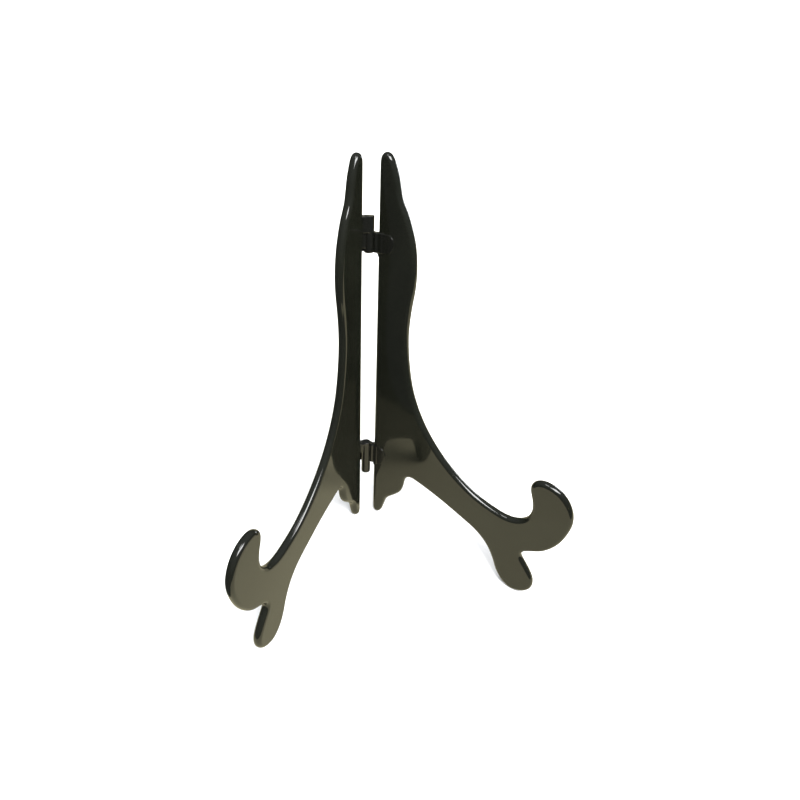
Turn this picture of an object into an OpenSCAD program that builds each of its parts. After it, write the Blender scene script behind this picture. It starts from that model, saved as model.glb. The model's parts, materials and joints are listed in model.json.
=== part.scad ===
// Folding album stand: two flat scroll-shaped frames joined at their straight
// rear edges by two snap hinges, opened to a V that stands on two front feet
// and two rear tips. Millimetres, +Z up, open side towards -Y, X = 0 is the
// plane of symmetry of the V.

/* [Frames] */
// Thickness of each moulded frame
frame_t = 4.5; // [4:0.1:5]
// Radius of the rounding that runs round every edge
edge_r = 2.1; // [1.2:0.1:2.1]
// Gap between each inner face and the hinge plane when folded shut
fold_gap = 0.3; // [0.3:0.05:0.6]

/* [Stance] */
// Angle between the two frames when the stand is open
open_angle = 90; // [89:0.5:91]
// Angle by which the hinge line leans back from upright
lean = 18.2; // [18:0.1:18.4]

/* [Hinges] */
// Diameter of the hinge posts
post_d = 4.7; // [4.5:0.1:4.8]
// Radial running clearance between a post and its clip
post_clear = 0.07; // [0.05:0.01:0.1]
// Wall of the C-shaped clips
clip_wall = 1.4; // [1.2:0.1:1.5]
// Thickness of the web that swings in the mouth of a clip
web_t = 1.8; // [1.4:0.1:1.8]
// Height of the lower edge of the upper clip along the hinge line
upper_clip_v = 145; // [140:1:150]
// Height of the lower edge of the lower clip along the hinge line
lower_clip_v = 33; // [30:1:38]

/* [Hidden] */

black = "#1d1c1a";
rear_x = 4;                      // straight rear edge, measured from the hinge line
mid_y = fold_gap + frame_t / 2;  // mid-plane of a frame, off the hinge plane
half = open_angle / 2;
clip_ri = post_d / 2 + post_clear;
clip_ro = clip_ri + clip_wall;
clip_rm = (clip_ri + clip_ro) / 2;
upper_clip_h = 8.6;
lower_clip_h = 10.5;
hinge_y = 5.2;                    // foot of the hinge line in the part's frame
hinge_z = -1.2;

// ---- outline of a frame, x away from the hinge line, y along it ----
rear_tip  = [[4, 5.5], [4, 2.6], [4.8, 0.7], [6.6, 0], [8.4, 0.7], [9.3, 2.7], [10.4, 6.4]];
heel      = [[12, 11], [16, 14.5], [20, 18], [21.5, 22], [22.1, 26], [23.6, 29], [25.7, 29.9]];
arm_under = [[29, 28.9], [42, 23], [54, 16.5], [64, 10.5], [70, 4.5], [74, -2.5], [77, -10]];
foot      = [[81, -15.5], [85, -18.3], [89, -18.6], [93.5, -17], [96.2, -13.5], [96, -8], [92.5, -1.8]];
notch     = [[89.4, 2.6], [88.1, 4.6], [88.5, 7], [91, 8.6]];
hook      = [[98, 11.5], [104, 17.8], [107.5, 25.5], [109, 34], [107, 41.5], [102, 47.7],
             [96, 50.7], [91, 51], [87.6, 48.6], [87.3, 45], [89, 39.5], [89.8, 34], [88.3, 28.8]];
arm_top   = [[84.5, 26], [79.5, 25.2], [73, 26.8], [62, 31.7], [51.5, 39.2], [42, 48.5], [34, 59], [28, 70]];
waist     = [[24, 81], [21.5, 94], [20.4, 108], [21.2, 120], [22.7, 131], [22.9, 140], [21.6, 150.5], [18, 161.7]];
finial    = [[15, 167.5], [13.8, 172], [12.8, 177], [11.2, 181.5], [9.8, 184.7], [8.6, 186.3], [6.9, 187], [5.2, 186.4], [4.2, 185]];
rear_edge = [[rear_x, 182], [rear_x, 170], [rear_x, 140], [rear_x, 94], [rear_x, 48], [rear_x, 18], [rear_x, 8]];
key = concat(rear_tip, heel, arm_under, foot, notch, hook, arm_top, waist, finial, rear_edge);

// smooth closed curve through the key points (centripetal spline)
function at(p, i) = p[(i + len(p)) % len(p)];
function tang(p, i) =
    let (a = at(p, i - 1), b = at(p, i), c = at(p, i + 1),
         s = sqrt(norm(b - a)), t = sqrt(norm(c - b)))
    [(b - a) / s - (c - a) / (s + t) + (c - b) / t];
function curve(p, step) = [
    for (i = [0 : len(p) - 1])
        let (b = at(p, i), c = at(p, i + 1), s = sqrt(norm(c - b)),
             m = s * tang(p, i)[0], n = s * tang(p, i + 1)[0],
             k = max(3, ceil(norm(c - b) / step)))
        for (j = [0 : k - 1])
            let (t = j / k)
            (2 * t^3 - 3 * t^2 + 1) * b + (t^3 - 2 * t^2 + t) * m
            + (3 * t^2 - 2 * t^3) * c + (t^3 - t^2) * n];
function inward(p) = [
    for (i = [0 : len(p) - 1])
        let (d = at(p, i + 1) - at(p, i - 1)) [-d.y, d.x] / norm(d)];

outline = curve(key, 4.5);
into = inward(outline);

// half-round edge: each step gives [inset from the outline, distance from mid-plane]
edge_n = 3;
edge_steps = concat(
    [for (k = [edge_n : -1 : 0]) let (a = 90 * k / edge_n)
        [edge_r * (1 - cos(a)), -(frame_t / 2 - edge_r) - edge_r * sin(a)]],
    [for (k = [0 : edge_n]) let (a = 90 * k / edge_n)
        [edge_r * (1 - cos(a)), (frame_t / 2 - edge_r) + edge_r * sin(a)]]);

// a point given in a frame's own axes, put into the part's frame (right side);
// nothing reaches below the table, so the feet and rear tips end in small flats
function stand(p) =
    let (a = half - 90,
         x = p.x * cos(a) - p.y * sin(a), y = p.x * sin(a) + p.y * cos(a),
         v = y * cos(lean) + p.z * sin(lean), w = -y * sin(lean) + p.z * cos(lean))
    [x, v + hinge_y, max(0, w + hinge_z)];

// a whole frame as one rounded plate
module plate() {
    n = len(outline);
    m = len(edge_steps);
    points = [for (s = edge_steps) for (i = [0 : n - 1])
        let (q = outline[i] + into[i] * s[0]) stand([q.x, mid_y + s[1], q.y])];
    sides = [for (r = [0 : m - 2]) for (i = [0 : n - 1]) for (k = [0, 1])
        let (a = r * n + i, b = r * n + (i + 1) % n, c = b + n, d = a + n)
        k == 0 ? [a, b, c] : [a, c, d]];
    // resized by nothing: the shell is taken as one closed mesh
    resize([0, 0, 0]) polyhedron(points, concat(sides,
        [[for (i = [n - 1 : -1 : 0]) i]],
        [[for (i = [0 : n - 1]) (m - 1) * n + i]]), convexity = 12);
}

// places a frame's own axes (x outwards, y to its outer side, z along the hinge)
module on_right() {
    translate([0, hinge_y, hinge_z]) rotate([-lean, 0, 0]) rotate([0, 0, half - 90]) children();
}
module on_left() {
    mirror([1, 0, 0]) on_right() children();
}
// ---- hinge, left side: a post on a web, with a shoulder above the clip ----
web_angle = atan2(mid_y, rear_x + 0.36);
module web(v0, v1) {
    translate([0, 0, v0]) rotate([0, 0, web_angle])
        translate([0, -web_t / 2, 0]) cube([7, web_t, v1 - v0]);
}
module shoulder(v0, v1) {
    translate([0, 0, v0]) linear_extrude(v1 - v0)
        polygon([[0.75, -2.2], [4.6, 0.6], [6.2, 0.9], [6.2, 4.2], [3.2, 4.3], [-1.2, 2]]);
}
// gusset that rises from the shoulder to the frame's edge
module gusset(v) {
    translate([0, mid_y + 1, v]) rotate([90, 0, 0]) linear_extrude(2)
        polygon([[2.4, -1], [6.2, -1], [6.2, 3], [4.4, 3], [2.4, 0]]);
}
module post(v0, v1) {
    r = post_d / 2;
    h = v1 - v0;
    translate([0, 0, v0]) rotate_extrude($fn = 64)
        polygon([[0, 0], [r - 0.9, 0], [r - 0.3, 0.3], [r, 0.9], [r, h - 0.3], [r - 0.3, h], [0, h]]);
}
module upper_web() {
    web(upper_clip_v + 2, upper_clip_v + upper_clip_h + 0.3);
    shoulder(upper_clip_v + upper_clip_h + 0.2, upper_clip_v + 15.8);
}
module lower_web() {
    web(lower_clip_v + 6.2, lower_clip_v + lower_clip_h + 0.3);
    shoulder(lower_clip_v + lower_clip_h + 0.2, lower_clip_v + lower_clip_h + 1.4);
    gusset(lower_clip_v + lower_clip_h + 1.4);
}

// ---- hinge, right side: a C-shaped clip on a root that runs into the frame's edge ----
lip_angle = 215;                 // where the far lip ends, just short of the web when open
module ring(h) {
    rotate([0, 0, -4]) rotate_extrude(angle = lip_angle + 4, $fn = 96)
        translate([clip_ri, 0]) square([clip_wall, h]);
}
module root(h) {
    translate([2.6, 0.08, 0]) cube([3.6, 3.52, h]);
}
module pad(h, reach) {
    // thin raised land on the inner face, with a round end
    r = h / 2 - 0.3;
    translate([0, fold_gap + 0.1, h / 2]) rotate([90, 0, 0]) linear_extrude(0.3)
        polygon(concat([[5.8, -r]],
            [for (a = [-90 : 10 : 90]) [reach - r + r * cos(a), r * sin(a)]],
            [[5.8, r]]));
}

module right_frame() {
    color(black) plate();
}
module left_frame() {
    color(black) mirror([1, 0, 0]) plate();
}
module upper_hinge_post() {
    color(black) on_left() {
        post(upper_clip_v - 0.4, upper_clip_v + 15.8);
        upper_web();
    }
}
module lower_hinge_post() {
    color(black) on_left() {
        post(lower_clip_v - 7, lower_clip_v + lower_clip_h + 1.4);
        lower_web();
    }
}
module upper_hinge_clip() {
    color(black) on_right() translate([0, 0, upper_clip_v]) {
        ring(upper_clip_h);
        root(upper_clip_h);
        pad(upper_clip_h, 12.4);
    }
}
module lower_hinge_clip() {
    color(black) on_right() translate([0, 0, lower_clip_v]) {
        ring(lower_clip_h);
        root(lower_clip_h);
        pad(lower_clip_h, 11.6);
    }
}

right_frame();
left_frame();
upper_hinge_post();
lower_hinge_post();
upper_hinge_clip();
lower_hinge_clip();
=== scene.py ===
import json
import math
import bpy
import bmesh
import numpy as np
from mathutils import Vector, Matrix, geometry


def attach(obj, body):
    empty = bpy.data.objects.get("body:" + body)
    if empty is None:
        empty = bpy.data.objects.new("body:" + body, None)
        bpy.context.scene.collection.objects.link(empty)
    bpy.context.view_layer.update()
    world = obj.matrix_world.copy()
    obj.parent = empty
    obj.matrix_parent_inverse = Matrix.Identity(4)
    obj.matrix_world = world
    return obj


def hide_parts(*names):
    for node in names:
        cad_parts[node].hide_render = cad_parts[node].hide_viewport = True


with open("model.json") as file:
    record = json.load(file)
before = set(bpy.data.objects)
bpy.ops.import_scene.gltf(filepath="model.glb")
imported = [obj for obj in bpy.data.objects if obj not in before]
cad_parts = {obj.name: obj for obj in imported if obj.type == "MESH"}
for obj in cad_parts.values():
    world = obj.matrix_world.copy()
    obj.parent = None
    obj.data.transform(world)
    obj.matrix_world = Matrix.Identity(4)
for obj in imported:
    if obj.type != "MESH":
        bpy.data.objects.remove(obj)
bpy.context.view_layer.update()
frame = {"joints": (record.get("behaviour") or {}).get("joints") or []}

scene = bpy.context.scene
RNG = np.random.default_rng(7)

# ------------------------------------------------------------------ the shared frame
JOINT = [j for j in frame["joints"] if j["name"] == "fold"][0]
AX = np.array(JOINT["axis"], float); AX /= np.linalg.norm(AX)
LEAN = math.atan2(AX[1], AX[2])
HINGE = np.array(JOINT["pos_m"], float) * 1000.0     # mm
HALF = math.radians(45.0)

FRAME_T = 4.5
EDGE_R = 2.1
FOLD_GAP = 0.3
MID_Y = FOLD_GAP + FRAME_T / 2
REAR_X = 4.0
POST_R = 2.35
CLIP_RI = POST_R + 0.07
CLIP_WALL = 1.4
CLIP_RM = CLIP_RI + CLIP_WALL / 2
UP_V, UP_H = 145.0, 8.6
LO_V, LO_H = 33.0, 10.5


def place(p, side):
    """A frame's own axes in mm (x outwards, y to its outer side, z along the hinge) to the row frame in metres."""
    p = np.asarray(p, float)
    sa, ca = math.sin(HALF), math.cos(HALF)
    x = side * (sa * p[:, 0] + ca * p[:, 1])
    y = -ca * p[:, 0] + sa * p[:, 1]
    z = p[:, 2]
    st, ct = math.sin(LEAN), math.cos(LEAN)
    out = np.stack([x + HINGE[0], y * ct + z * st + HINGE[1], -y * st + z * ct + HINGE[2]], 1)
    return out / 1000.0


# ------------------------------------------------------------------ outline of a frame
KEY = (
    # rear tip and heel
    (4, 5.5), (4, 2.6), (4.8, 0.7), (6.6, 0), (8.4, 0.7), (9.3, 2.7), (10.4, 6.4),
    (12, 11), (16, 14.5), (20, 18), (21.5, 22), (22.1, 26), (23.6, 29), (25.7, 29.9),
    # underside of the arm
    (29, 28.9), (42, 23), (54, 16.5), (64, 10.5), (70, 4.5), (74, -2.5), (77, -10),
    # front foot and notch
    (81, -15.5), (85, -18.3), (89, -18.6), (93.5, -17), (96.2, -13.5), (96, -8), (92.5, -1.8),
    (89.4, 2.6), (88.1, 4.6), (88.5, 7), (91, 8.6),
    # hook
    (98, 11.5), (104, 17.8), (107.5, 25.5), (109, 34), (107, 41.5), (102, 47.7),
    (96, 50.7), (91, 51), (87.6, 48.6), (87.3, 45), (89, 39.5), (89.8, 34), (88.3, 28.8),
    # crook and top of the arm
    (84.5, 26), (79.5, 25.2), (73, 26.8), (62, 31.7), (51.5, 39.2), (42, 48.5), (34, 59), (28, 70),
    # waist and belly
    (24, 81), (21.5, 94), (20.4, 108), (21.2, 120), (22.7, 131), (22.9, 140), (21.6, 150.5), (18, 161.7),
    # finial
    (15, 167.5), (13.8, 172), (12.8, 177), (11.2, 181.5), (9.8, 184.7), (8.6, 186.3), (6.9, 187), (5.2, 186.4), (4.2, 185),
    # straight rear edge
    (4, 182), (4, 170), (4, 140), (4, 94), (4, 48), (4, 18), (4, 8),
)


def closed_curve(key, step, least):
    k = np.array(key, float)
    n = len(k)
    out = []
    for i in range(n):
        p0, p1, p2, p3 = k[i - 1], k[i], k[(i + 1) % n], k[(i + 2) % n]
        d1 = np.linalg.norm(p1 - p0) ** 0.5
        d2 = np.linalg.norm(p2 - p1) ** 0.5
        d3 = np.linalg.norm(p3 - p2) ** 0.5
        m1 = (p2 - p1) + d2 * ((p1 - p0) / d1 - (p2 - p0) / (d1 + d2))
        m2 = (p2 - p1) + d2 * ((p3 - p2) / d3 - (p3 - p1) / (d2 + d3))
        c = max(least, int(math.ceil(np.linalg.norm(p2 - p1) / step)))
        for j in range(c):
            t = j / c
            out.append((2 * t**3 - 3 * t**2 + 1) * p1 + (t**3 - 2 * t**2 + t) * m1
                       + (3 * t**2 - 2 * t**3) * p2 + (t**3 - t**2) * m2)
    return np.array(out)


def even(points, spacing):
    """The same closed curve, with points evenly spaced along it."""
    p = np.vstack([points, points[:1]])
    d = np.r_[0, np.cumsum(np.linalg.norm(np.diff(p, axis=0), axis=1))]
    n = int(round(d[-1] / spacing))
    s = np.linspace(0, d[-1], n + 1)[:-1]
    return np.stack([np.interp(s, d, p[:, 0]), np.interp(s, d, p[:, 1])], 1)


def smooth_closed(a, times):
    for _ in range(times):
        a = 0.25 * np.roll(a, 1, 0) + 0.5 * a + 0.25 * np.roll(a, -1, 0)
    return a


OUTLINE = even(closed_curve(KEY, 0.25, 8), 0.8)
OUTLINE = smooth_closed(OUTLINE, 6)
_t = np.roll(OUTLINE, -1, 0) - np.roll(OUTLINE, 1, 0)
INTO = np.stack([-_t[:, 1], _t[:, 0]], 1) / np.linalg.norm(_t, axis=1)[:, None]
INTO = smooth_closed(INTO, 4)
INTO /= np.linalg.norm(INTO, axis=1)[:, None]


def mesh_object(name, verts, faces, smooth=True):
    me = bpy.data.meshes.new(name)
    me.from_pydata([tuple(v) for v in verts], [], faces)
    me.validate()
    me.update()
    if smooth:
        me.polygons.foreach_set("use_smooth", [True] * len(me.polygons))
    ob = bpy.data.objects.new(name, me)
    scene.collection.objects.link(ob)
    return ob


def plate(name, side):
    """One frame: a plate with a full round edge, a fine parting line round it, and flat faces."""
    n = len(OUTLINE)
    flat = FRAME_T / 2 - EDGE_R
    rings = []                                   # (inset, offset from mid-plane)
    steps = 14
    for k in range(steps, -1, -1):
        a = math.radians(90.0 * k / steps)
        rings.append((EDGE_R * (1 - math.cos(a)), -flat - EDGE_R * math.sin(a)))
    # parting line: a fine raised bead left by the mould, 0.03 mm proud
    for y, out in ((-0.09, 0.0), (-0.04, 0.02), (0.0, 0.035), (0.04, 0.02), (0.09, 0.0)):
        rings.append((-out, y))
    for k in range(0, steps + 1):
        a = math.radians(90.0 * k / steps)
        rings.append((EDGE_R * (1 - math.cos(a)), flat + EDGE_R * math.sin(a)))
    rings = [(EDGE_R + 0.1, rings[0][1])] + rings + [(EDGE_R + 0.1, rings[-1][1])]
    m = len(rings)
    verts = []
    for inset, off in rings:
        q = OUTLINE + INTO * inset
        verts.append(np.stack([q[:, 0], np.full(n, MID_Y + off), q[:, 1]], 1))
    verts = np.vstack(verts)
    faces = []
    for r in range(m - 1):
        for i in range(n):
            j = (i + 1) % n
            faces.append((r * n + i, r * n + j, (r + 1) * n + j, (r + 1) * n + i))
    # flat faces: an even triangulation of the inside
    loop = OUTLINE + INTO * (EDGE_R + 0.1)
    inside_v, inside_f = fill(loop)
    base0 = 0
    extra = inside_v[n:]
    idx_in = list(range(n)) + list(range(len(verts), len(verts) + len(extra)))
    idx_out = list(range((m - 1) * n, m * n)) + list(range(len(verts) + len(extra), len(verts) + 2 * len(extra)))
    y_in, y_out = MID_Y + rings[0][1], MID_Y + rings[-1][1]
    verts = np.vstack([verts,
                       np.stack([extra[:, 0], np.full(len(extra), y_in), extra[:, 1]], 1),
                       np.stack([extra[:, 0], np.full(len(extra), y_out), extra[:, 1]], 1)])
    for f in inside_f:
        faces.append(tuple(idx_in[i] for i in reversed(f)))
        faces.append(tuple(idx_out[i] for i in f))
    if side > 0:
        faces = [tuple(reversed(f)) for f in faces]
    world = place(verts, side)
    # the feet and tips are worn flat where they stand
    world[:, 2] = np.maximum(world[:, 2], 0.0)
    ob = mesh_object(name, world, faces)
    bm = bmesh.new(); bm.from_mesh(ob.data)
    bmesh.ops.recalc_face_normals(bm, faces=bm.faces)
    bm.to_mesh(ob.data); bm.free()
    return ob


def inside(q, loop):
    """Which points lie inside a closed loop."""
    hit = np.zeros(len(q), bool)
    for (x0, y0), (x1, y1) in zip(loop, np.roll(loop, -1, 0)):
        if y1 != y0:
            xx = x0 + (q[:, 1] - y0) * (x1 - x0) / (y1 - y0)
            hit ^= ((y0 > q[:, 1]) != (y1 > q[:, 1])) & (q[:, 0] < xx)
    return hit


def fill(loop):
    """Triangles of the inside of a closed loop, on an even grid; the loop's own points come first."""
    n = len(loop)
    lo, hi = loop.min(0), loop.max(0)
    gap = 2.4
    pts = []
    row = 0
    y = lo[1]
    while y < hi[1]:
        x = lo[0] + (gap / 2 if row % 2 else 0)
        while x < hi[0]:
            pts.append((x, y))
            x += gap
        y += gap * 0.866
        row += 1
    pts = np.array(pts)
    # keep those well inside
    pts = pts[inside(pts, loop)]
    d = np.full(len(pts), 1e9)
    for i in range(0, n, 1):
        d = np.minimum(d, np.hypot(pts[:, 0] - loop[i, 0], pts[:, 1] - loop[i, 1]))
    pts = pts[d > 1.1]
    allp = np.vstack([loop, pts])
    edges = [(i, (i + 1) % n) for i in range(n)]
    v, e, f, ov, oe, of_ = geometry.delaunay_2d_cdt(
        [Vector((float(p[0]), float(p[1]))) for p in allp], edges, [list(range(n))], 1, 1e-6, True)
    back = {}
    for new, olds in enumerate(ov):
        if olds:
            back[new] = min(olds)
        else:                                        # a crossing the triangulation added itself
            print("fill: added point", tuple(round(c, 3) for c in v[new]))
            back[new] = len(allp)
            allp = np.vstack([allp, [[v[new][0], v[new][1]]]])
    tris = []
    for face in f:
        t = [back[i] for i in face]
        p = allp[t]
        ab, ac = p[1] - p[0], p[2] - p[0]
        if ab[0] * ac[1] - ab[1] * ac[0] < 0:
            t = t[::-1]
        tris.append(t)
    keep = inside(np.array([allp[t].mean(0) for t in tris]), loop)
    return allp, [t for t, k in zip(tris, keep) if k]


# ------------------------------------------------------------------ hinge pieces, from distance fields
def smin(a, b, k):
    h = np.clip(0.5 + 0.5 * (b - a) / k, 0, 1)
    return b * (1 - h) + a * h - k * h * (1 - h)


def smax(a, b, k):
    return -smin(-a, -b, k)


def rbox(x, y, z, lo, hi, r):
    c = [(a + b) / 2 for a, b in zip(lo, hi)]
    h = [(b - a) / 2 - r for a, b in zip(lo, hi)]
    q = [abs(x - c[0]) - h[0], abs(y - c[1]) - h[1], abs(z - c[2]) - h[2]]
    out = np.sqrt(sum(np.maximum(v, 0) ** 2 for v in q))
    return out + np.minimum(np.maximum(np.maximum(q[0], q[1]), q[2]), 0) - r


def extrude(d2, z, z0, z1, r):
    w = abs(z - (z0 + z1) / 2) - ((z1 - z0) / 2 - r)
    d = d2 + r
    return np.minimum(np.maximum(d, w), 0) + np.sqrt(np.maximum(d, 0) ** 2 + np.maximum(w, 0) ** 2) - r


def polygon2(x, y, pts):
    """Signed distance to a polygon."""
    pts = np.array(pts, float)
    d = np.full(x.shape, 1e9)
    s = np.ones(x.shape)
    n = len(pts)
    for i in range(n):
        a, b = pts[i], pts[i - 1]
        ex, ey = b - a
        wx, wy = x - a[0], y - a[1]
        t = np.clip((wx * ex + wy * ey) / (ex * ex + ey * ey), 0, 1)
        bx, by = wx - ex * t, wy - ey * t
        d = np.minimum(d, bx * bx + by * by)
        c1, c2, c3 = y >= a[1], y < b[1], ex * wy > ey * wx
        s = np.where((c1 & c2 & c3) | (~c1 & ~c2 & ~c3), -s, s)
    return s * np.sqrt(d)


def arc2(x, y, a0, a1, rm, half):
    """Signed distance to a round-ended arc wall from angle a0 to a1 (degrees)."""
    mid, ap = math.radians((a0 + a1) / 2), math.radians((a1 - a0) / 2)
    ux = x * math.sin(mid) - y * math.cos(mid)
    uy = x * math.cos(mid) + y * math.sin(mid)
    ux = abs(ux)
    sx, sy = math.sin(ap), math.cos(ap)
    end = np.hypot(ux - sx * rm, uy - sy * rm)
    ring = abs(np.hypot(ux, uy) - rm)
    return np.where(sy * ux > sx * uy, end, ring) - half


def frame_edge(x, y):
    """Signed distance to a frame's section near its straight rear edge."""
    qx, qy = (REAR_X + EDGE_R) - x, abs(y - MID_Y) - (FRAME_T / 2 - EDGE_R)
    return np.minimum(np.maximum(qx, qy), 0) + np.sqrt(np.maximum(qx, 0) ** 2 + np.maximum(qy, 0) ** 2) - EDGE_R


def surface_net(field, lo, hi, cell):
    """A closed quad mesh of field = 0, one vertex per crossed cell, drawn onto the surface."""
    ns = [int(math.ceil((b - a) / cell)) + 1 for a, b in zip(lo, hi)]
    ax = [lo[i] + cell * np.arange(ns[i]) for i in range(3)]
    X, Y, Z = np.meshgrid(*ax, indexing="ij")
    F = field(X, Y, Z)
    S = F < 0
    corners = [(i, j, k) for i in (0, 1) for j in (0, 1) for k in (0, 1)]
    n = [s - 1 for s in ns]

    def at(A, c):
        return A[c[0]:c[0] + n[0], c[1]:c[1] + n[1], c[2]:c[2] + n[2]]
    count = sum(at(S, c).astype(np.int8) for c in corners)
    active = (count > 0) & (count < 8)
    idx = -np.ones(active.shape, np.int64)
    idx[active] = np.arange(active.sum())
    acc = np.zeros((int(active.sum()), 3)); cnt = np.zeros(int(active.sum()))
    base = np.stack(np.nonzero(active), 1)
    for c in corners:
        for d in range(3):
            if c[d]:
                continue
            e = list(c); e[d] = 1
            fa, fb = at(F, c)[active], at(F, tuple(e))[active]
            cross = (fa < 0) != (fb < 0)
            t = np.where(cross, fa / np.where(cross, fa - fb, 1), 0)
            p = np.array(c, float)[None, :].repeat(len(t), 0)
            p[:, d] += t
            acc[cross] += p[cross]; cnt[cross] += 1
    V = (base + acc / cnt[:, None]) * cell + np.array(lo)
    faces = []
    for d in range(3):
        u, v = (d + 1) % 3, (d + 2) % 3
        sl0 = [slice(1, n[i]) for i in range(3)]; sl1 = list(sl0)
        sl0[d] = slice(0, n[d]); sl1[d] = slice(1, n[d] + 1)
        a, b = S[tuple(sl0)], S[tuple(sl1)]
        change = a != b
        g = np.stack(np.nonzero(change), 1)
        off = np.array([1, 1, 1]); off[d] = 0
        g = g + off
        flip = a[change]
        q = []
        for du, dv in ((0, 0), (1, 0), (1, 1), (0, 1)):
            h = g.copy(); h[:, u] -= du; h[:, v] -= dv
            q.append(idx[h[:, 0], h[:, 1], h[:, 2]])
        q = np.stack(q, 1)
        q[~flip] = q[~flip][:, ::-1]
        faces.append(q)
    faces = np.vstack(faces)
    # draw the vertices onto the surface
    h = cell * 0.2
    for _ in range(4):
        x, y, z = V.T
        f = field(x, y, z)
        g = np.stack([field(x + h, y, z) - field(x - h, y, z), field(x, y + h, z) - field(x, y - h, z),
                      field(x, y, z + h) - field(x, y, z - h)], 1) / (2 * h)
        gg = np.maximum((g * g).sum(1), 0.25)
        move = -(f / gg)[:, None] * g
        ln = np.linalg.norm(move, axis=1, keepdims=True)
        move *= np.minimum(1, 0.4 * cell / np.maximum(ln, 1e-9))
        V = V + move
    return V, faces


def net_object(name, field, lo, hi, side, cell=0.16):
    v, f = surface_net(field, lo, hi, cell)
    ob = mesh_object(name, place(v, side), [tuple(int(i) for i in q) for q in f])
    bm = bmesh.new(); bm.from_mesh(ob.data)
    bmesh.ops.recalc_face_normals(bm, faces=bm.faces)
    bm.to_mesh(ob.data); bm.free()
    return ob


def into_edge(d, x, y, k, reach):
    """Blends a solid into the frame's rear edge with a fillet, and keeps only what stands out of the edge."""
    e = frame_edge(x, y) + 0.02
    out = smin(d, e, k)
    out = np.maximum(out, d - reach)             # no skin away from the piece
    return np.maximum(out, -(e + 0.35))          # hollow it just under the frame's surface


WEB_ANGLE = math.atan2(MID_Y, REAR_X + 0.36)
WEB_T = 1.8
SHOULDER = [(0.75, -2.2), (4.6, 0.6), (6.2, 0.9), (6.2, 4.2), (3.2, 4.3), (-1.2, 2.0)]


def post_field(v0, v1, web0, step, gusset):
    def field(x, y, z):
        rho = np.hypot(x, y)
        # post: rounded free end below, small round above
        top = extrude(rho - POST_R, z, v0, v1, 0.25)
        low = np.sqrt(np.maximum(rho - (POST_R - 0.9), 0) ** 2 + np.maximum((v0 + 0.9) - z, 0) ** 2) - 0.9
        p = np.maximum(top, np.where(z < v0 + 0.9, low, -9))
        c, s = math.cos(WEB_ANGLE), math.sin(WEB_ANGLE)
        wx, wy = x * c + y * s, -x * s + y * c
        web = rbox(wx, wy, z, (0, -WEB_T / 2, web0), (7.0, WEB_T / 2, step + 1), 0.3)
        d = smin(p, web, 0.35)
        sh = extrude(polygon2(x, y, SHOULDER) - 0.05, z, step, v1, 0.25)
        d = smin(d, sh, 0.25)
        if gusset:
            g = extrude(polygon2(x, z, [(1.6, v1 - 1), (6.2, v1 - 1), (6.2, v1 + 3), (4.4, v1 + 3), (2.2, v1 - 0.1)]),
                        y, MID_Y - 1, MID_Y + 1, 0.3)
            d = smin(d, g, 0.5)
        return into_edge(d, x, y, 0.7, 0.75)
    return field


def clip_field(v0, h, reach, low_fillet):
    def field(x, y, z):
        rho = np.hypot(x, y)
        ring = extrude(arc2(x, y, 11, 204, CLIP_RM, CLIP_WALL / 2), z, v0, v0 + h, 0.22)
        root = rbox(x, y, z, (2.5, 0.08, v0), (6.3, 3.6, v0 + h), 0.25)
        d = smin(ring, root, 0.7)
        # fillet below the root, in the plane of the frame
        cx, cz = REAR_X - low_fillet + 0.3, v0 - low_fillet
        tri = polygon2(x, z, [(2.6, v0 + 0.4), (5.5, v0 + 0.4), (5.5, cz), (REAR_X + 0.2, cz)])
        tri = np.maximum(tri, -(np.hypot(x - cx, z - cz) - low_fillet))
        d = smin(d, extrude(tri, y, 0.5, 3.4, 0.25), 0.4)
        d = into_edge(d, x, y, 0.8, 0.85)
        # thin land on the inner face, with a round end
        zc = v0 + h / 2
        px = x - np.clip(x, 5.0, reach - h / 2)
        land2 = np.hypot(px, z - zc) - h / 2
        land = extrude(land2, y, 0.08, 0.9, 0.12)
        land = np.maximum(land, 5.2 - x)
        land = np.maximum(land, y - 0.45)
        d = smin(d, land, 0.12)
        return np.maximum(d, -(rho - CLIP_RI))
    return field


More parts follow.
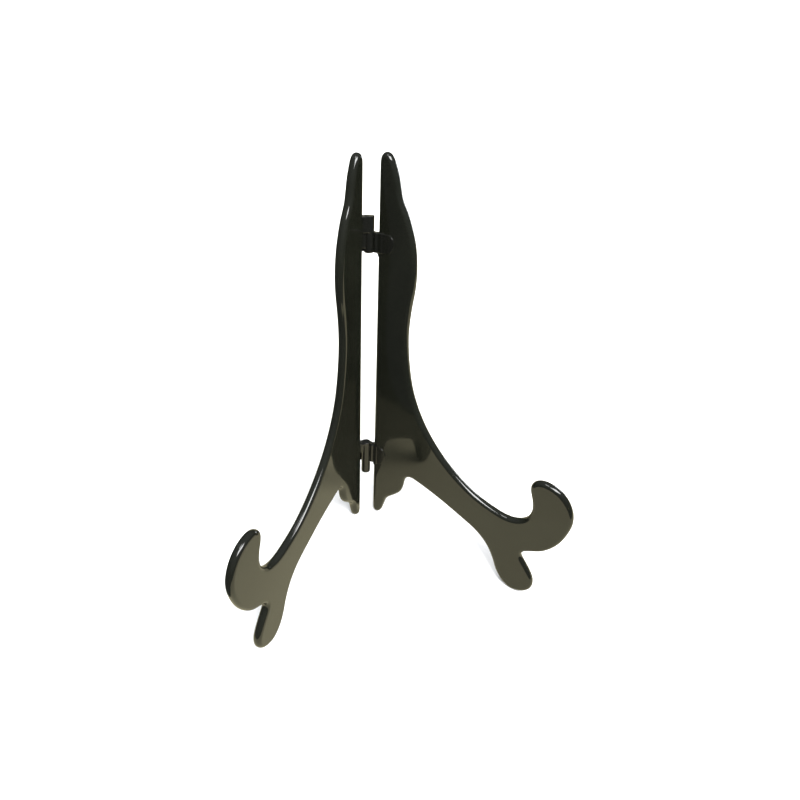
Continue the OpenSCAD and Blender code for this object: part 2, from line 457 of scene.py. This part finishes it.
# ------------------------------------------------------------------ materials
def plastic(name, base, rough, peel, seed):
    m = bpy.data.materials.new(name)
    m.use_nodes = True
    nt = m.node_tree
    nt.nodes.clear()
    N, L = nt.nodes.new, nt.links.new
    out = N("ShaderNodeOutputMaterial")
    b = N("ShaderNodeBsdfPrincipled")
    L(b.outputs[0], out.inputs[0])
    b.inputs["IOR"].default_value = 1.5
    co = N("ShaderNodeTexCoord")
    mp = N("ShaderNodeMapping")
    mp.inputs["Location"].default_value = (seed * 0.37, seed * 0.11, seed * 0.23)
    L(co.outputs["Object"], mp.inputs["Vector"])

    def noise(scale, detail, rough_, lac=2.0):
        n = N("ShaderNodeTexNoise")
        n.inputs["Scale"].default_value = scale
        n.inputs["Detail"].default_value = detail
        n.inputs["Roughness"].default_value = rough_
        n.inputs["Lacunarity"].default_value = lac
        L(mp.outputs[0], n.inputs["Vector"])
        return n

    def ramp(src, a, b_, va, vb):
        r = N("ShaderNodeMapRange")
        r.inputs["From Min"].default_value = a
        r.inputs["From Max"].default_value = b_
        r.inputs["To Min"].default_value = va
        r.inputs["To Max"].default_value = vb
        L(src, r.inputs["Value"])
        return r.outputs["Result"]
    # colour: near black, with slow flow streaks of the moulding
    flow = noise(26, 3, 0.55)
    mix = N("ShaderNodeMix"); mix.data_type = "RGBA"
    mix.inputs[6].default_value = (*[c * 0.8 for c in base], 1)
    mix.inputs[7].default_value = (*[c * 1.25 for c in base], 1)
    L(ramp(flow.outputs["Fac"], 0.3, 0.7, 0, 1), mix.inputs[0])
    L(mix.outputs[2], b.inputs["Base Color"])
    # roughness: polished mould, faint handling marks
    smudge = noise(60, 5, 0.6)
    fine = noise(900, 2, 0.5)
    add = N("ShaderNodeMath"); add.operation = "ADD"
    L(ramp(smudge.outputs["Fac"], 0.45, 0.75, rough, rough + 0.07), add.inputs[0])
    L(ramp(fine.outputs["Fac"], 0.35, 0.75, 0.0, 0.03), add.inputs[1])
    L(add.outputs[0], b.inputs["Roughness"])
    # bump: orange peel and slow waviness
    slow = noise(70, 1, 0.4)
    orange = noise(420, 2, 0.5)
    s1 = N("ShaderNodeMath"); s1.operation = "MULTIPLY_ADD"
    L(slow.outputs["Fac"], s1.inputs[0]); s1.inputs[1].default_value = 6.0
    L(orange.outputs["Fac"], s1.inputs[2])
    bump = N("ShaderNodeBump")
    bump.inputs["Strength"].default_value = 1.0
    bump.inputs["Distance"].default_value = peel
    L(s1.outputs[0], bump.inputs["Height"])
    L(bump.outputs[0], b.inputs["Normal"])
    return m


BLACK = plastic("frame_gloss_black", (0.0064, 0.0069, 0.0047), 0.04, 0.0000016, 1)
BLACK_L = plastic("frame_gloss_black_left", (0.0064, 0.0069, 0.0047), 0.04, 0.0000016, 5)
HINGE_M = plastic("hinge_gloss_black", (0.0050, 0.0052, 0.0041), 0.09, 0.0000016, 3)


def white_floor(name, dark, light):
    m = bpy.data.materials.new(name)
    m.use_nodes = True
    nt = m.node_tree
    b = nt.nodes["Principled BSDF"]
    b.inputs["Roughness"].default_value = 0.75
    b.inputs["Specular IOR Level"].default_value = 0.2
    n = nt.nodes.new("ShaderNodeTexNoise"); n.inputs["Scale"].default_value = 30
    mix = nt.nodes.new("ShaderNodeMix"); mix.data_type = "RGBA"
    mix.inputs[6].default_value = (*dark, 1)
    mix.inputs[7].default_value = (*light, 1)
    nt.links.new(n.outputs["Fac"], mix.inputs[0])
    nt.links.new(mix.outputs[2], b.inputs["Base Color"])
    return m


# ------------------------------------------------------------------ build
def finish_piece(ob, mat, body, node):
    ob.data.materials.clear()
    ob.data.materials.append(mat)
    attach(ob, body)
    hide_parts(node)


right = plate("right_frame_moulding", 1)
finish_piece(right, BLACK, "right_half", "right_frame")
left = plate("left_frame_moulding", -1)
finish_piece(left, BLACK_L, "left_half", "left_frame")

up_post = net_object("upper_post_moulding", post_field(UP_V - 0.4, UP_V + 15.8, UP_V + 2, UP_V + UP_H + 0.2, False),
                     (-3.2, -3.2, UP_V - 1.2), (7.4, 5.6, UP_V + 16.8), -1)
finish_piece(up_post, HINGE_M, "left_half", "upper_hinge_post")
lo_post = net_object("lower_post_moulding", post_field(LO_V - 7, LO_V + LO_H + 1.4, LO_V + 6.2, LO_V + LO_H + 0.2, True),
                     (-3.2, -3.2, LO_V - 8), (7.4, 5.6, LO_V + LO_H + 6), -1)
finish_piece(lo_post, HINGE_M, "left_half", "lower_hinge_post")
up_clip = net_object("upper_clip_moulding", clip_field(UP_V, UP_H, 12.4, 1.6),
                     (-4.6, -1.2, UP_V - 3), (13.2, 5.6, UP_V + UP_H + 1.2), 1)
finish_piece(up_clip, HINGE_M, "right_half", "upper_hinge_clip")
lo_clip = net_object("lower_clip_moulding", clip_field(LO_V, LO_H, 11.6, 1.6),
                     (-4.6, -1.2, LO_V - 3), (12.6, 5.6, LO_V + LO_H + 1.2), 1)
finish_piece(lo_clip, HINGE_M, "right_half", "lower_hinge_clip")

# ------------------------------------------------------------------ floor
def level(name, lo, hi, z, mat):
    """A flat stage surface, as an even grid."""
    n, m = 8, 8
    xs, ys = np.linspace(lo[0], hi[0], n + 1), np.linspace(lo[1], hi[1], m + 1)
    v = [(x, y, z) for y in ys for x in xs]
    f = [(j * (n + 1) + i, j * (n + 1) + i + 1, (j + 1) * (n + 1) + i + 1, (j + 1) * (n + 1) + i)
         for j in range(m) for i in range(n)]
    ob = mesh_object(name, v, f, smooth=False)
    ob.data.materials.append(mat)
    return ob


floor = level("floor", (-4, -4), (4, 4), -0.0002, white_floor("floor_white", (0.90, 0.90, 0.90), (0.93, 0.93, 0.93)))
floor.visible_glossy = False
# a sheet under the stand that only reflections see, never the camera: its dim olive colour is a painted reflection
# tint on the gloss plastic. The room beyond it is dim
sheet = level("sheet", (-0.105, -0.45), (0.7, 1.2), -0.0001,
              white_floor("paper_warm_white", (0.47, 0.43, 0.28), (0.49, 0.45, 0.295)))
sheet.visible_camera = False
sheet.visible_diffuse = False
sheet.visible_shadow = False

# ------------------------------------------------------------------ light
world = bpy.data.worlds.new("studio")
scene.world = world
world.use_nodes = True
wn, wl = world.node_tree.nodes, world.node_tree.links
bg = wn["Background"]
bg.inputs[0].default_value = (0.86, 0.92, 1.0, 1)
# a dim room: darker towards the horizon, paler overhead
toward = wn.new("ShaderNodeTexCoord")
split = wn.new("ShaderNodeSeparateXYZ")
wl.new(toward.outputs["Generated"], split.inputs[0])
rise = wn.new("ShaderNodeMapRange")
rise.inputs["From Min"].default_value = 0.15
rise.inputs["From Max"].default_value = 1.0
rise.inputs["To Min"].default_value = 0.09
rise.inputs["To Max"].default_value = 0.42
wl.new(split.outputs["Z"], rise.inputs["Value"])
wl.new(rise.outputs["Result"], bg.inputs[1])
white = wn.new("ShaderNodeBackground")
white.inputs[0].default_value = (1, 1, 1, 1)
white.inputs[1].default_value = 1.0
pick = wn.new("ShaderNodeMixShader")
path = wn.new("ShaderNodeLightPath")
wl.new(path.outputs["Is Camera Ray"], pick.inputs[0])
wl.new(bg.outputs[0], pick.inputs[1])
wl.new(white.outputs[0], pick.inputs[2])
wl.new(pick.outputs[0], wn["World Output"].inputs[0])


def aim(o, at, to):
    o.location = at
    o.rotation_euler = (Vector(to) - Vector(at)).to_track_quat("-Z", "Y").to_euler()


def softbox(name, az, el, dist, size, radiance, colour=(1, 1, 1)):
    """A rectangular light; az 0 is the side of the hooks, + towards +X."""
    a, e = math.radians(az), math.radians(el)
    d = bpy.data.lights.new(name, "AREA")
    d.shape = "RECTANGLE"
    d.size, d.size_y = size
    d.energy = radiance * math.pi * size[0] * size[1]
    d.color = colour
    o = bpy.data.objects.new(name, d)
    scene.collection.objects.link(o)
    aim(o, (dist * math.sin(a) * math.cos(e), -dist * math.cos(a) * math.cos(e), 0.09 + dist * math.sin(e)), (0, 0, 0.09))
    return o


fill = bpy.data.lights.new("fill", "SUN")
fill.energy = 4.1
fill.angle = math.radians(80)
fill_ob = bpy.data.objects.new("fill", fill)
scene.collection.objects.link(fill_ob)
aim(fill_ob, (0.1, -0.3, 2.0), (0, 0, 0))
fill_ob.visible_glossy = False
softbox("key", 16, 63, 1.5, (0.95, 0.52), 19)
softbox("top", -60, 80, 1.4, (0.36, 0.36), 9)
softbox("window", 116, 2, 1.5, (0.32, 0.42), 11, (0.93, 0.97, 1.0))

# ------------------------------------------------------------------ camera, as in the reference view
K = 1.054
C_FIT = np.array([-71.09, -251.29, 203.41])
RVEC = np.array([2.0620552902852044, -0.27889429, 0.18198257])
th = np.linalg.norm(RVEC); kx, ky, kz = RVEC / th
KM = np.array([[0, -kz, ky], [kz, 0, -kx], [-ky, kx, 0]])
R_FIT = np.eye(3) + math.sin(th) * KM + (1 - math.cos(th)) * KM @ KM
st, ct = math.sin(LEAN), math.cos(LEAN)
RX = np.array([[1, 0, 0], [0, ct, st], [0, -st, ct]])
C_ROW = (RX @ ((C_FIT - np.array([0, -6.45, 0])) * K) + HINGE) / 1000.0
axes = (RX @ R_FIT.T)                           # columns: camera right, down, forward
cam_data = bpy.data.cameras.new("camera")
cam = bpy.data.objects.new("camera", cam_data)
scene.collection.objects.link(cam)
M = Matrix(((axes[0, 0], -axes[0, 1], -axes[0, 2], C_ROW[0]),
            (axes[1, 0], -axes[1, 1], -axes[1, 2], C_ROW[1]),
            (axes[2, 0], -axes[2, 1], -axes[2, 2], C_ROW[2]),
            (0, 0, 0, 1)))
cam.matrix_world = M
cam_data.sensor_width = 36.0
cam_data.lens = 600.6178 / 800.0 * 36.0
cam_data.shift_x = (400 - 366.96) / 800.0
cam_data.shift_y = (406.47 - 400) / 800.0
cam_data.clip_start = 0.01
scene.camera = cam
scene.view_settings.view_transform = "Standard"
scene.view_settings.look = "None"
